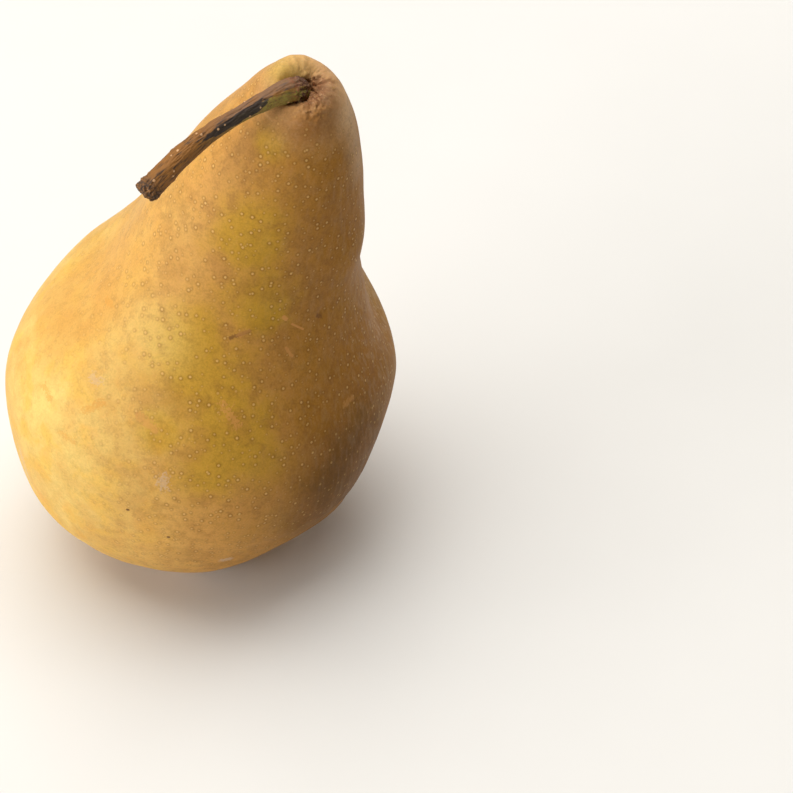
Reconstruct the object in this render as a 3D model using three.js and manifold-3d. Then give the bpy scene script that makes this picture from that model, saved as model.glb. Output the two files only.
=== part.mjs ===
// A fresh long-necked russet pear, standing upright on the lobed rim round its eye.
// Millimetres, +Z up, its front towards -Y. There are three pieces. The fruit is one
// solid: a turned outline is swollen and lobed by formula, then bent along the crooked
// line on which the fruit grew. The woody stem stands in a socket in the hollow at the
// tip, arching out sideways. The calyx, the dry remains of the flower, sits in a basin
// under the fruit. Where two pieces meet they keep a gap of 0.3 mm.
import * as THREE from "three";
import { mergeVertices } from "three/addons/utils/BufferGeometryUtils.js";
import Module from "manifold-3d";

const wasm = await Module();
wasm.setup();

// Driving dimensions of the fruit. Heights run along its growth line, from the surface
// that it stands on, and radii run out from that line.
const BELLY_RADIUS = 39;
const BELLY_HEIGHT = 38;
const NECK_RADIUS = 18.5;
const NECK_HEIGHT = 92;
const TIP_RADIUS = 8.3;
const TIP_HEIGHT = 124;
const RIM_RADIUS = 13.5;
const BASIN_DEPTH = 8;
const TIP_HOLLOW_DEPTH = 2.2;
const TIP_CAP_BOTTOM = TIP_HEIGHT - 6;
const TIP_CAP_TOP = TIP_HEIGHT - 2;
const LOBES = 5;
const LOBE_RISE = 0.8;
const LOBE_FADE = 9;
const LOBE_TURN = THREE.MathUtils.degToRad(-86);

// Driving dimensions of the stem
const STEM_FOOT_RADIUS = 1.8;
const STEM_FOOT_DEPTH = 5;
const STEM_ROOT_RADIUS = 2.3;
const STEM_WAIST_RADIUS = 1.5;
const STEM_END_RADIUS = 2.25;
const STEM_REACH = 34.5;
const STEM_HEADING = THREE.MathUtils.degToRad(213);

// Driving dimensions of the calyx
const CALYX_RADIUS = 2;
const CALYX_HEIGHT = 4.6;
const CALYX_FOOT_DEPTH = 2.2;
const SEPALS = 5;
const SEPAL_LENGTH = 5.4;
const SEPAL_WIDTH = 3;
const SEPAL_THICKNESS = 0.8;
const SEPAL_TIP_WIDTH_SHARE = 0.15;
const SEPAL_TIP_THICKNESS_SHARE = 0.6;
const SEPAL_CURL = THREE.MathUtils.degToRad(55);

// The stem and the calyx stand in sockets of the fruit, with this gap all round them.
const GAP = 0.3;

// How finely the round surfaces are divided
const FRUIT_SIDES = 72;
const STEPS_PER_OUTLINE_POINT = 3;
const STEM_SIDES = 14;
const STEM_STEPS = 48;
const CALYX_SIDES = 20;
const SEPAL_STEPS = 8;

const UP = new THREE.Vector3(0, 0, 1);

// The half outline of a straight fruit, as [radius, height]: out of the basin, over the
// rim that it stands on, round the belly, up the neck and over the tip into the hollow.
const OUTLINE = [
  [0, BASIN_DEPTH],
  [3, BASIN_DEPTH - 0.1],
  [5.4, BASIN_DEPTH - 1],
  [8, 4.2],
  [10.5, 0.9],
  [RIM_RADIUS, -0.5],
  [18.5, 1.9],
  [27.5, 8.9],
  [35.2, 20.5],
  [BELLY_RADIUS, BELLY_HEIGHT],
  [36.2, 52],
  [29, 66],
  [22.6, 79],
  [NECK_RADIUS, NECK_HEIGHT],
  [15.6, 104],
  [11.6, TIP_HEIGHT - 9.4],
  [TIP_RADIUS, TIP_HEIGHT - 3.6],
  [6.3, TIP_HEIGHT - 0.8],
  [4.8, TIP_HEIGHT],
  [3.5, TIP_HEIGHT - 0.8],
  [2, TIP_HEIGHT - TIP_HOLLOW_DEPTH + 0.3],
  [0, TIP_HEIGHT - TIP_HOLLOW_DEPTH],
];

// The crooked line that the fruit grew along: upright through the belly, then leaning to
// the right and a little to the front.
const growthLine = new THREE.CatmullRomCurve3([
  new THREE.Vector3(0, 0, 0),
  new THREE.Vector3(0, 0, 14),
  new THREE.Vector3(0, 0, 28),
  new THREE.Vector3(5.5, -1, 60),
  new THREE.Vector3(14.5, -4, 93),
  new THREE.Vector3(20.2, -7, 110),
  new THREE.Vector3(23.8, -12.5, 127),
]);
growthLine.arcLengthDivisions = 400;
const GROWTH_LENGTH = growthLine.getLength();

// Broad swells and hollows of the skin. Each has its place on the straight fruit, as an
// angle round it, a radius and a height, the distance that it reaches, and its rise.
const SWELLS = [
  { turn: 190, radius: 39, height: 41, reach: 14, rise: 1.4 },
  { turn: 205, radius: 37, height: 28, reach: 15, rise: 1.2 },
  { turn: 226, radius: 28, height: 9, reach: 9, rise: 1.3 },
  { turn: -44, radius: 18, height: 3, reach: 6, rise: -3 },
  { turn: -54, radius: 24.5, height: 7, reach: 7.5, rise: -3.2 },
  { turn: -95, radius: 24, height: 5, reach: 7, rise: -0.4 },
  { turn: 172, radius: 26, height: 64, reach: 12, rise: -4.8 },
  { turn: 172, radius: 14.5, height: 106, reach: 9, rise: -1.6 },
  { turn: 150, radius: 7, height: 122, reach: 5, rise: 0.8 },
  { turn: 213, radius: 5.5, height: 123, reach: 3.2, rise: -2.8 },
  { turn: 20, radius: 9, height: 117, reach: 6, rise: -0.5 },
  { turn: -5, radius: 18, height: 97, reach: 12, rise: 1.7 },
  { turn: 5, radius: 32, height: 59, reach: 5, rise: -1.2 },
  { turn: 0, radius: 37, height: 49, reach: 7, rise: 0.9 },
  { turn: -10, radius: 39, height: 33, reach: 12, rise: -2.4 },
];

// The route of the stem as [reach, rise] from the bottom of the hollow in the tip, in the
// upright plane that it arches out in. The first three points are its foot in the fruit.
const STEM_ROUTE = [
  [-1.2, -STEM_FOOT_DEPTH],
  [-1.1, -3],
  [-0.5, -0.8],
  [1.1, 0.8],
  [4, 1.4],
  [9.5, 0.9],
  [18.5, -0.9],
  [26, -4],
  [STEM_REACH, -9.5],
];

// Radius of the stem as [share of its length, radius]
const STEM_OUTLINE = [
  [0, STEM_FOOT_RADIUS],
  [0.08, STEM_FOOT_RADIUS],
  [0.2, STEM_ROOT_RADIUS],
  [0.32, 1.75],
  [0.45, STEM_WAIST_RADIUS],
  [0.6, 1.65],
  [0.8, 2.05],
  [0.96, STEM_END_RADIUS],
  [1, STEM_END_RADIUS - 0.2],
];

function bumpAt(point) {
  const angle = Math.atan2(point.y, point.x);
  const nearRim = Math.exp(-((point.z / LOBE_FADE) ** 2) / 2);
  const offAxis = THREE.MathUtils.smoothstep(Math.hypot(point.x, point.y), 0, RIM_RADIUS);
  let rise = LOBE_RISE * nearRim * offAxis * Math.cos(LOBES * (angle - LOBE_TURN));
  for (const swell of SWELLS) {
    const turn = THREE.MathUtils.degToRad(swell.turn);
    const centre = new THREE.Vector3(
      swell.radius * Math.cos(turn),
      swell.radius * Math.sin(turn),
      swell.height,
    );
    rise += swell.rise * Math.exp(-point.distanceToSquared(centre) / (2 * swell.reach ** 2));
  }
  return rise;
}

// Carries a point of the straight fruit to its place on the crooked one.
function grow(point) {
  const share = THREE.MathUtils.clamp(point.z / GROWTH_LENGTH, 0, 1);
  const lean = new THREE.Quaternion().setFromUnitVectors(UP, growthLine.getTangentAt(share));
  return new THREE.Vector3(point.x, point.y, 0).applyQuaternion(lean).add(growthLine.getPointAt(share));
}

// Vertices merged by place alone, so that the surface closes at its seam and poles.
function closed(geometry) {
  geometry.deleteAttribute("normal");
  geometry.deleteAttribute("uv");
  return mergeVertices(geometry, 1e-3);
}

// A solid turned round the upright axis, from a half outline of [radius, height] that
// starts at the bottom of the axis and ends at its top.
function turned(outline, sides) {
  const lathe = new THREE.LatheGeometry(
    outline.map(([radius, height]) => new THREE.Vector2(radius, height)),
    sides,
  );
  lathe.rotateX(Math.PI / 2);
  return closed(lathe);
}

// The whole fruit, with no sockets yet. The skin moves out along its own normals, but
// near the tip it moves along the growth line, which keeps the lip of the hollow smooth.
function fruitGeometry() {
  const half = new THREE.CatmullRomCurve3(
    OUTLINE.map(([radius, height]) => new THREE.Vector3(radius, height, 0)),
    false,
    "centripetal",
  );
  const steps = (OUTLINE.length - 1) * STEPS_PER_OUTLINE_POINT;
  const fruit = turned(
    half.getPoints(steps).map((point) => [point.x, point.y]),
    FRUIT_SIDES,
  );
  fruit.computeVertexNormals();
  const place = fruit.attributes.position;
  const facing = fruit.attributes.normal;
  for (let i = 0; i < place.count; i += 1) {
    const point = new THREE.Vector3().fromBufferAttribute(place, i);
    const nearTip = THREE.MathUtils.smoothstep(point.z, TIP_CAP_BOTTOM, TIP_CAP_TOP);
    const outwards = new THREE.Vector3().fromBufferAttribute(facing, i).lerp(UP, nearTip).normalize();
    const grown = grow(point.addScaledVector(outwards, bumpAt(point)));
    place.setXYZ(i, grown.x, grown.y, Math.max(grown.z, 0));
  }
  return fruit;
}

// The value at a share of the way along a list of [share, value]
function along(list, share) {
  const next = list.findIndex(([at]) => at >= share && at > 0);
  const [from, low] = list[next - 1];
  const [to, high] = list[next];
  return THREE.MathUtils.lerp(low, high, THREE.MathUtils.smoothstep(share, from, to));
}

// The stem, or with a gap given, the larger stem that cuts its socket
function stemGeometry(gap = 0) {
  const hollow = grow(new THREE.Vector3(0, 0, TIP_HEIGHT - TIP_HOLLOW_DEPTH));
  const route = new THREE.CatmullRomCurve3(
    STEM_ROUTE.map(
      ([reach, rise]) =>
        new THREE.Vector3(
          hollow.x + reach * Math.cos(STEM_HEADING),
          hollow.y + reach * Math.sin(STEM_HEADING),
          hollow.z + rise,
        ),
    ),
    false,
    "centripetal",
  );
  const frames = route.computeFrenetFrames(STEM_STEPS);
  const stem = closed(new THREE.CylinderGeometry(1, 1, 1, STEM_SIDES, STEM_STEPS));
  const place = stem.attributes.position;
  for (let i = 0; i < place.count; i += 1) {
    const share = THREE.MathUtils.clamp(place.getY(i) + 0.5, 0, 1);
    const step = Math.round(share * STEM_STEPS);
    const radius = along(STEM_OUTLINE, share) + gap;
    const point = route.getPointAt(share);
    point.addScaledVector(frames.binormals[step], radius * place.getX(i));
    point.addScaledVector(frames.normals[step], radius * place.getZ(i));
    if (step === 0) {
      point.addScaledVector(frames.tangents[0], -gap);
    }
    place.setXYZ(i, point.x, point.y, point.z);
  }
  return stem;
}

// A geometry as a manifold solid, and back again
function solid(geometry) {
  return new wasm.Manifold(
    new wasm.Mesh({
      numProp: 3,
      vertProperties: Float32Array.from(geometry.attributes.position.array),
      triVerts: Uint32Array.from(geometry.index.array),
    }),
  );
}

function geometryOf(body) {
  const mesh = body.getMesh();
  const geometry = new THREE.BufferGeometry();
  geometry.setAttribute("position", new THREE.BufferAttribute(mesh.vertProperties, 3));
  geometry.setIndex(new THREE.BufferAttribute(mesh.triVerts, 1));
  return geometry;
}

// One sepal, a narrow pointed blade along +X from the wall of the cup. It curls down
// towards its tip, on an arc.
function sepalGeometry() {
  const sepal = closed(
    new THREE.BoxGeometry(SEPAL_LENGTH, SEPAL_WIDTH, SEPAL_THICKNESS, SEPAL_STEPS, 2, 1),
  );
  const bend = SEPAL_LENGTH / SEPAL_CURL;
  const place = sepal.attributes.position;
  for (let i = 0; i < place.count; i += 1) {
    const share = THREE.MathUtils.clamp(place.getX(i) / SEPAL_LENGTH + 0.5, 0, 1);
    const across = place.getY(i) * THREE.MathUtils.lerp(1, SEPAL_TIP_WIDTH_SHARE, share ** 1.5);
    const through = place.getZ(i) * THREE.MathUtils.lerp(1, SEPAL_TIP_THICKNESS_SHARE, share);
    const turn = share * SEPAL_CURL;
    place.setXYZ(
      i,
      (bend + through) * Math.sin(turn),
      across,
      (bend + through) * Math.cos(turn) - bend,
    );
  }
  return sepal;
}

// The small cup of the calyx, its foot sunk in the fruit and its mouth open downwards
function cupGeometry(top, lip) {
  return turned(
    [
      [0, lip + 1.4],
      [1.2, lip + 1],
      [1.7, lip],
      [2.2, lip],
      [2.5, lip + 0.8],
      [CALYX_RADIUS, lip + 2.2],
      [CALYX_RADIUS, top],
      [0, top],
    ],
    CALYX_SIDES,
  );
}

// The cup with its sepals round it, each rooted a little way inside the cup's wall
function calyxGeometry() {
  const top = BASIN_DEPTH + CALYX_FOOT_DEPTH;
  const lip = top - CALYX_HEIGHT;
  let calyx = solid(cupGeometry(top, lip));
  for (let i = 0; i < SEPALS; i += 1) {
    const sepal = sepalGeometry();
    sepal.translate(CALYX_RADIUS - 0.4, 0, lip + 1);
    sepal.rotateZ((2 * Math.PI * i) / SEPALS);
    calyx = calyx.add(solid(sepal));
  }
  return geometryOf(calyx);
}

// The socket of the calyx: a round hole up into the fruit from inside the basin
function calyxSocketGeometry() {
  const radius = CALYX_RADIUS + GAP;
  const top = BASIN_DEPTH + CALYX_FOOT_DEPTH + GAP;
  const bottom = BASIN_DEPTH - 2;
  return turned([[0, bottom], [radius, bottom], [radius, top], [0, top]], CALYX_SIDES);
}

function fruitWithSockets() {
  const fruit = solid(fruitGeometry());
  return geometryOf(fruit.subtract(solid(stemGeometry(GAP))).subtract(solid(calyxSocketGeometry())));
}

function piece(name, geometry, color, roughness) {
  const mesh = new THREE.Mesh(geometry, new THREE.MeshStandardMaterial({ color, roughness }));
  mesh.name = name;
  return mesh;
}

const pear = new THREE.Group();
pear.add(
  piece("fruit", fruitWithSockets(), 0xb98d2f, 0.45),
  piece("stem", stemGeometry(), 0x6e4526, 0.75),
  piece("calyx", calyxGeometry(), 0x4a3322, 0.9),
);

// The origin goes under the middle of the whole piece's box, on the standing surface.
const box = new THREE.Box3().setFromObject(pear);
const middle = box.getCenter(new THREE.Vector3());
pear.position.set(-middle.x, -middle.y, -box.min.z);
export default pear;
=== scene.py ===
# %% [markdown]
# # A long-necked russet pear, dressed for its portrait
# The solids of the pear come from the CAD frame: the fruit, its woody stem and the dry calyx under it. This
# lesson grows a fine skin over the fruit, barks the stem, and wilts five sepals round the calyx. Every
# surface then gets a finish that is worked out from its place in space, so nothing is painted from a
# picture.

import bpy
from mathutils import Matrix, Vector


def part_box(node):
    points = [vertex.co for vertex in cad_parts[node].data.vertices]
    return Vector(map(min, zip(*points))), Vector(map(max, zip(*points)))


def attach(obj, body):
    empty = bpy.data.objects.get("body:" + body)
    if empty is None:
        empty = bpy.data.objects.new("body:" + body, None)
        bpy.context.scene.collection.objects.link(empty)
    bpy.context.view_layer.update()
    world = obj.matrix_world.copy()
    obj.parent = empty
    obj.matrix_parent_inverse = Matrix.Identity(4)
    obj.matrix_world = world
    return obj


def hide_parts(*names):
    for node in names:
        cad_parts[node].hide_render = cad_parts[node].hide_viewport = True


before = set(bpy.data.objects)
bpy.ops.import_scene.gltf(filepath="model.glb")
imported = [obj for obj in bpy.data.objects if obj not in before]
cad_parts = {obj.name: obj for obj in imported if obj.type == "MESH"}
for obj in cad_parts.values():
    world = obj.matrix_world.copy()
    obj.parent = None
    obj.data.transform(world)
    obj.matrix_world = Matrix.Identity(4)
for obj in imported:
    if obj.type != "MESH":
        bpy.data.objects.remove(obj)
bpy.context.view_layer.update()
print(len(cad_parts), "CAD nodes")

# %% Tools of the lesson
import math

import bpy
import numpy as np
from mathutils import Vector, noise
from mathutils.bvhtree import BVHTree

MM = 0.001
scene = bpy.context.scene
random = np.random.default_rng(7)

# %% [markdown]
# ## The curves that the fruit grew on
# A pear is nearly a turned shape. Its half outline runs out of the basin round the eye, over the rim that
# it stands on, round the belly, up the neck and into the hollow at the tip. That straight fruit then leans
# along a crooked growth line. We could subdivide the CAD solid, but its facets would print through the
# gloss. Rebuilding the form from its driving dimensions gives an even grid that is smooth at any zoom, so
# that is the way here.

# %% Driving dimensions, in millimetres
BELLY_RADIUS = 39
BELLY_HEIGHT = 38
NECK_RADIUS = 18.5
NECK_HEIGHT = 92
TIP_RADIUS = 8.3
TIP_HEIGHT = 124
TIP_HOLLOW_DEPTH = 2.2
RIM_RADIUS = 13.5
BASIN_DEPTH = 8
LOBES, LOBE_RISE, LOBE_FADE, LOBE_TURN = 5, 0.8, 9, math.radians(-86)

OUTLINE = [
    (0, BASIN_DEPTH), (3, BASIN_DEPTH - 0.1), (5.4, BASIN_DEPTH - 1), (8, 4.2), (10.5, 0.9),
    (RIM_RADIUS, -0.5), (18.5, 1.9), (27.5, 8.9), (35.2, 20.5), (BELLY_RADIUS, BELLY_HEIGHT),
    (36.2, 52), (29, 66), (22.6, 79), (NECK_RADIUS, NECK_HEIGHT), (15.6, 104),
    (11.6, TIP_HEIGHT - 9.4), (TIP_RADIUS, TIP_HEIGHT - 3.6), (6.3, TIP_HEIGHT - 0.8),
    (4.8, TIP_HEIGHT), (3.5, TIP_HEIGHT - 0.8), (2, TIP_HEIGHT - TIP_HOLLOW_DEPTH + 0.3),
    (0, TIP_HEIGHT - TIP_HOLLOW_DEPTH),
]
GROWTH_LINE = [
    (0, 0, 0), (0, 0, 14), (0, 0, 28), (5.5, -1, 60), (14.5, -4, 93), (20.2, -7, 110), (23.8, -12.5, 127),
]

# %% A smooth curve through chosen points
def smooth_curve(points, steps):
    """A centripetal Catmull-Rom curve through the points, with this many steps to each span."""
    p = np.array(points, float)
    p = np.vstack([2 * p[0] - p[1], p, 2 * p[-1] - p[-2]])
    gaps = np.linalg.norm(np.diff(p, axis=0), axis=1) ** 0.5
    t = np.linspace(0, 1, steps, endpoint=False)[:, None]
    drawn = []
    for i in range(1, len(p) - 2):
        a, b, c = gaps[i - 1], gaps[i], gaps[i + 1]
        start = b * ((p[i] - p[i - 1]) / a - (p[i + 1] - p[i - 1]) / (a + b)) + p[i + 1] - p[i]
        end = b * ((p[i + 2] - p[i + 1]) / c - (p[i + 2] - p[i]) / (b + c)) + p[i + 1] - p[i]
        rise = p[i + 1] - p[i]
        drawn.append(p[i] + start * t + (3 * rise - 2 * start - end) * t**2 + (start + end - 2 * rise) * t**3)
    return np.vstack([*drawn, p[-2:-1]])


def walked(line):
    """How far along a drawn line each of its points lies."""
    return np.concatenate([[0], np.cumsum(np.linalg.norm(np.diff(line, axis=0), axis=1))])


def at_distance(line, distances):
    """The points of a drawn line at these distances along it."""
    way = walked(line)
    return np.stack([np.interp(distances, way, column) for column in line.T], axis=1)


def unit(vectors):
    """The same directions, each 1 long."""
    return vectors / np.linalg.norm(vectors, axis=1)[:, None]


def direction_at(line, distances, step):
    """Where a drawn line heads at these distances, measured over a step to each side."""
    end = walked(line)[-1]
    ahead = at_distance(line, np.clip(distances + step, 0, end))
    return unit(ahead - at_distance(line, np.clip(distances - step, 0, end)))


def evenly_round(sides):
    """Angles spread evenly over one turn."""
    return np.linspace(0, 2 * math.pi, sides, endpoint=False)


half = smooth_curve(OUTLINE, 60)
growth = smooth_curve(GROWTH_LINE, 200)
print("half outline", round(walked(half)[-1], 1), "mm, growth line", round(walked(growth)[-1], 1), "mm")

# %% Broad swells of the skin, as (turn in degrees, radius, height, reach, rise)
SWELLS = [
    (190, 39, 41, 14, 1.4), (205, 37, 28, 15, 1.2), (226, 28, 9, 9, 1.3), (-44, 18, 3, 6, -3),
    (-54, 24.5, 7, 7.5, -3.2), (-95, 24, 5, 7, -0.4), (172, 26, 64, 12, -4.8), (172, 14.5, 106, 9, -1.6),
    (150, 7, 122, 5, 0.8), (213, 5.5, 123, 3.2, -2.8), (20, 9, 117, 6, -0.5), (-5, 18, 97, 12, 1.7),
    (5, 32, 59, 5, -1.2), (0, 37, 49, 7, 0.9), (-10, 39, 33, 12, -2.4),
]
LEAN_STEP = 0.5


def smoothstep(x, low, high):
    """0 below low, 1 above high and a smooth step between them."""
    t = np.clip((x - low) / (high - low), 0, 1)
    return t * t * (3 - 2 * t)


def bump_at(p):
    """How far the skin of the straight fruit stands out: five lobes round the rim, and the swells."""
    near_rim = np.exp(-((p[:, 2] / LOBE_FADE) ** 2) / 2)
    off_axis = smoothstep(np.hypot(p[:, 0], p[:, 1]), 0, RIM_RADIUS)
    rise = LOBE_RISE * near_rim * off_axis * np.cos(LOBES * (np.arctan2(p[:, 1], p[:, 0]) - LOBE_TURN))
    for turn, radius, height, reach, swell in SWELLS:
        a = math.radians(turn)
        centre = np.array([radius * math.cos(a), radius * math.sin(a), height])
        rise += swell * np.exp(-((p - centre) ** 2).sum(1) / (2 * reach**2))
    return rise


def grow(p):
    """Carries points of the straight fruit to their places on the crooked one."""
    height = np.clip(p[:, 2], 0, walked(growth)[-1])
    lean = direction_at(growth, height, LEAN_STEP)
    # Turning straight up onto the leaning direction carries (x, y, 0) to this place.
    x, y = p[:, 0], p[:, 1]
    drop = x * lean[:, 0] + y * lean[:, 1]
    dip = drop / (1 + lean[:, 2])
    return at_distance(growth, height) + np.stack([x - lean[:, 0] * dip, y - lean[:, 1] * dip, -drop], axis=1)


# %% [markdown]
# ## The fruit as one fine grid
# The rows follow the outline and are closest together near the tip, where the folds round the stem are
# small. The sides follow the turn. Both ends close on the axis, so the grid is one watertight skin. The
# swells move it along its own normals, but near the tip they move it upwards, which keeps the lip of the
# hollow smooth.

# %% Grid of the fruit
FRUIT_SIDES = 288
FRUIT_ROWS = 312
CLOSE_ROWS = 3.2
TIP_CAP_BOTTOM = TIP_HEIGHT - 6
TIP_CAP_TOP = TIP_HEIGHT - 2
CLOSE_FROM = TIP_HEIGHT - 12
CLOSE_TO = TIP_HEIGHT - 3
FINE_STEPS = 4000
SLOPE_STEP = 0.05


def uneven_rows(line, count):
    """Distances along the half outline, closer together near the tip."""
    way = np.linspace(0, walked(line)[-1], FINE_STEPS)
    height = at_distance(line, way)[:, 1]
    density = 1 + CLOSE_ROWS * smoothstep(height, CLOSE_FROM, CLOSE_TO)
    filled = np.concatenate([[0], np.cumsum((density[1:] + density[:-1]) / 2)])
    return np.interp(np.linspace(0, filled[-1], count + 1), filled, way)


rows = uneven_rows(half, FRUIT_ROWS)
profile = at_distance(half, rows)
slope = direction_at(half, rows, SLOPE_STEP)
turns = evenly_round(FRUIT_SIDES)


def ringed(radius, height):
    """The grid's points for a radius and a height of each inner row, with one pole at each end."""
    x = np.outer(radius[1:-1], np.cos(turns)).ravel()
    y = np.outer(radius[1:-1], np.sin(turns)).ravel()
    z = np.repeat(height[1:-1], FRUIT_SIDES)
    inner = np.stack([x, y, z], axis=1)
    return np.vstack([[[0, 0, height[0]]], inner, [[0, 0, height[-1]]]])


straight = ringed(profile[:, 0], profile[:, 1])
facing = ringed(slope[:, 1], -slope[:, 0])
facing[0], facing[-1] = (0, 0, -1), (0, 0, 1)
near_tip = smoothstep(straight[:, 2], TIP_CAP_BOTTOM, TIP_CAP_TOP)[:, None]
outwards = facing * (1 - near_tip) + np.array([0, 0, 1.0]) * near_tip
fruit_points = grow(straight + unit(outwards) * bump_at(straight)[:, None])

# %% The grown fruit is set where the CAD fruit stands
cad_low, cad_high = (np.array(corner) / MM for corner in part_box("fruit"))
shift = ((cad_low + cad_high) / 2 - (fruit_points.min(0) + fruit_points.max(0)) / 2) * (1, 1, 0)
fruit_points += shift
fruit_points[:, 2] = np.maximum(fruit_points[:, 2], 0)
print("shift onto the CAD fruit in mm:", np.round(shift, 3))
print("fruit box in mm:", np.round(fruit_points.min(0), 2), np.round(fruit_points.max(0), 2))

# %% Faces of a closed grid
def grid_faces(sides, inner_rows):
    """Quads between rings of points and a fan round each pole, all facing outwards."""
    ring = np.arange(sides)
    following = (ring + 1) % sides
    top = 1 + inner_rows * sides
    faces = [(0, 1 + int(b), 1 + int(a)) for a, b in zip(ring, following)]
    for row in range(inner_rows - 1):
        low, high = 1 + row * sides, 1 + (row + 1) * sides
        faces += [(low + int(a), low + int(b), high + int(b), high + int(a)) for a, b in zip(ring, following)]
    last = 1 + (inner_rows - 1) * sides
    faces += [(top, last + int(a), last + int(b)) for a, b in zip(ring, following)]
    return faces


def made_mesh(name, points, faces):
    """A mesh object from points in millimetres."""
    mesh = bpy.data.meshes.new(name)
    mesh.from_pydata((np.asarray(points) * MM).tolist(), [], faces)
    mesh.shade_smooth()
    piece = bpy.data.objects.new(name, mesh)
    scene.collection.objects.link(piece)
    return piece


def point_normals(points, faces):
    """The direction that the surface faces at each point."""
    mesh = bpy.data.meshes.new("normals")
    mesh.from_pydata(np.asarray(points).tolist(), [], faces)
    normals = np.zeros(len(points) * 3)
    mesh.vertex_normals.foreach_get("vector", normals)
    bpy.data.meshes.remove(mesh)
    return normals.reshape(-1, 3)


fruit_faces = grid_faces(FRUIT_SIDES, FRUIT_ROWS - 1)
print(len(fruit_points), "points,", len(fruit_faces), "faces")

# %% [markdown]
# ## The camera
# The camera looks down on the standing pear from 42 degrees up, from as far off as a portrait lens stands.
# Its place is worked out backwards: the middle of the belly shows at a known pixel, and a millimetre there
# spans a known number of pixels.

# %% Camera
PICTURE = 793
BELLY_PIXEL = (201, 377)
PIXELS_PER_MM = 4.9
CAMERA_DISTANCE = 750
CAMERA_RISE = math.radians(42)
SENSOR = 36

right = np.array([1.0, 0, 0])
up = np.array([0, math.sin(CAMERA_RISE), math.cos(CAMERA_RISE)])
back = np.array([0, -math.cos(CAMERA_RISE), math.sin(CAMERA_RISE)])
belly = np.array([0, 0, BELLY_HEIGHT]) + shift
target = belly - right * (BELLY_PIXEL[0] - PICTURE / 2) / PIXELS_PER_MM
target = target + up * (BELLY_PIXEL[1] - PICTURE / 2) / PIXELS_PER_MM
eye = target + back * CAMERA_DISTANCE

camera = bpy.data.objects.new("camera", bpy.data.cameras.new("camera"))
scene.collection.objects.link(camera)
camera.data.sensor_width = SENSOR
camera.data.lens = PIXELS_PER_MM * CAMERA_DISTANCE * SENSOR / PICTURE
camera.location = Vector(eye * MM)
camera.rotation_euler = Vector(-back).to_track_quat("-Z", "Y").to_euler()
scene.camera = camera
print("lens", round(camera.data.lens, 1), "mm, eye at", np.round(eye, 1), "mm")

# %% Where a pixel's ray meets the fruit
bare_fruit = BVHTree.FromPolygons(fruit_points.tolist(), fruit_faces)


def seen_at(pixel):
    """The point of the fruit, in millimetres, that the camera shows at a pixel."""
    across = (pixel[0] - PICTURE / 2) / (PIXELS_PER_MM * CAMERA_DISTANCE)
    down = (pixel[1] - PICTURE / 2) / (PIXELS_PER_MM * CAMERA_DISTANCE)
    hit = bare_fruit.ray_cast(Vector(eye), Vector(right * across - up * down - back))[0]
    return np.array(hit)


print("the belly's middle pixel meets the skin at", np.round(seen_at(BELLY_PIXEL), 1))

# %% [markdown]
# ## The stem's route
# The stem stands in a socket in the hollow, turns over within a few millimetres and arches out over the
# left shoulder. Its line lies in one upright plane, so it is given as reach and rise in that plane. The
# bark and the socket both follow it.

# %% Stem route and girth
STEM_HEADING = math.radians(213)
STEM_FOOT_DEPTH = 5
STEM_REACH = 34.5
STEM_ROUTE = [
    (-1.2, -STEM_FOOT_DEPTH), (-1.1, -3), (-0.5, -0.8), (1.1, 0.8), (4, 1.4), (9.5, 0.9), (18.5, -0.9),
    (26, -4), (STEM_REACH, -9.5),
]
STEM_GIRTH = [
    (0, 1.8), (0.08, 1.8), (0.2, 2.3), (0.32, 1.75), (0.45, 1.5), (0.6, 1.65), (0.8, 2.05), (0.96, 2.25),
    (1, 2.05),
]
SOCKET_GAP = 0.15
ROUTE_STEP = 0.2

hollow = grow(np.array([[0, 0, TIP_HEIGHT - TIP_HOLLOW_DEPTH]]))[0] + shift
heading = np.array([math.cos(STEM_HEADING), math.sin(STEM_HEADING), 0])
side = np.array([-math.sin(STEM_HEADING), math.cos(STEM_HEADING), 0])
stem_line = smooth_curve([hollow + reach * heading + (0, 0, rise) for reach, rise in STEM_ROUTE], 60)
STEM_LENGTH = walked(stem_line)[-1]
print("stem", round(STEM_LENGTH, 1), "mm long")
print("from", np.round(stem_line[0], 1), "to", np.round(stem_line[-1], 1))


def stem_radius(share):
    """Radius of the stem at a share of its length, eased from each known girth to the next."""
    at, girth = np.array(STEM_GIRTH).T
    span = np.clip(np.searchsorted(at, share, side="right") - 1, 0, len(at) - 2)
    t = smoothstep(share, at[span], at[span + 1])
    return girth[span] + (girth[span + 1] - girth[span]) * t


def stem_frame(share):
    """Middle, upper direction and forward direction of the stem at shares of its length."""
    distance = share * STEM_LENGTH
    middle = at_distance(stem_line, distance)
    forward = direction_at(stem_line, distance, ROUTE_STEP)
    return middle, unit(np.cross(forward, side)), forward


def round_stem(share, angles, radius, forwards=0):
    """Points at each share and angle. Angle 0 is the stem's upper side, and 90 degrees its right side."""
    middle, upper, forward = stem_frame(share)
    spoke = upper * np.cos(angles)[:, None] + side * np.sin(angles)[:, None]
    return middle + spoke * np.asarray(radius)[:, None] + forward * np.asarray(forwards)[..., None]


# %% [markdown]
# ## Folds, russet collar and dents of the skin
# Where the stem leaves, a real pear has a crumbly russet collar with small folds. Round the eye the skin is
# puckered, and all over it is a little uneven, as grown flesh is. A texture could fake the shading, but the
# folds catch the light at the outline too, so they are moved into the mesh itself.

# %% Helpers for relief
def grain(points, size, octaves=3):
    """Noise of about -1 to 1 whose lumps are this many millimetres apart."""
    return np.array([noise.fractal(Vector(p) / size, 0.9, 2.1, octaves) for p in points])


def hill(points, centre, reach):
    """A soft round mask, 1 at its centre, that fades over the reach."""
    return np.exp(-((points - centre) ** 2).sum(1) / (2 * reach**2))


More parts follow.
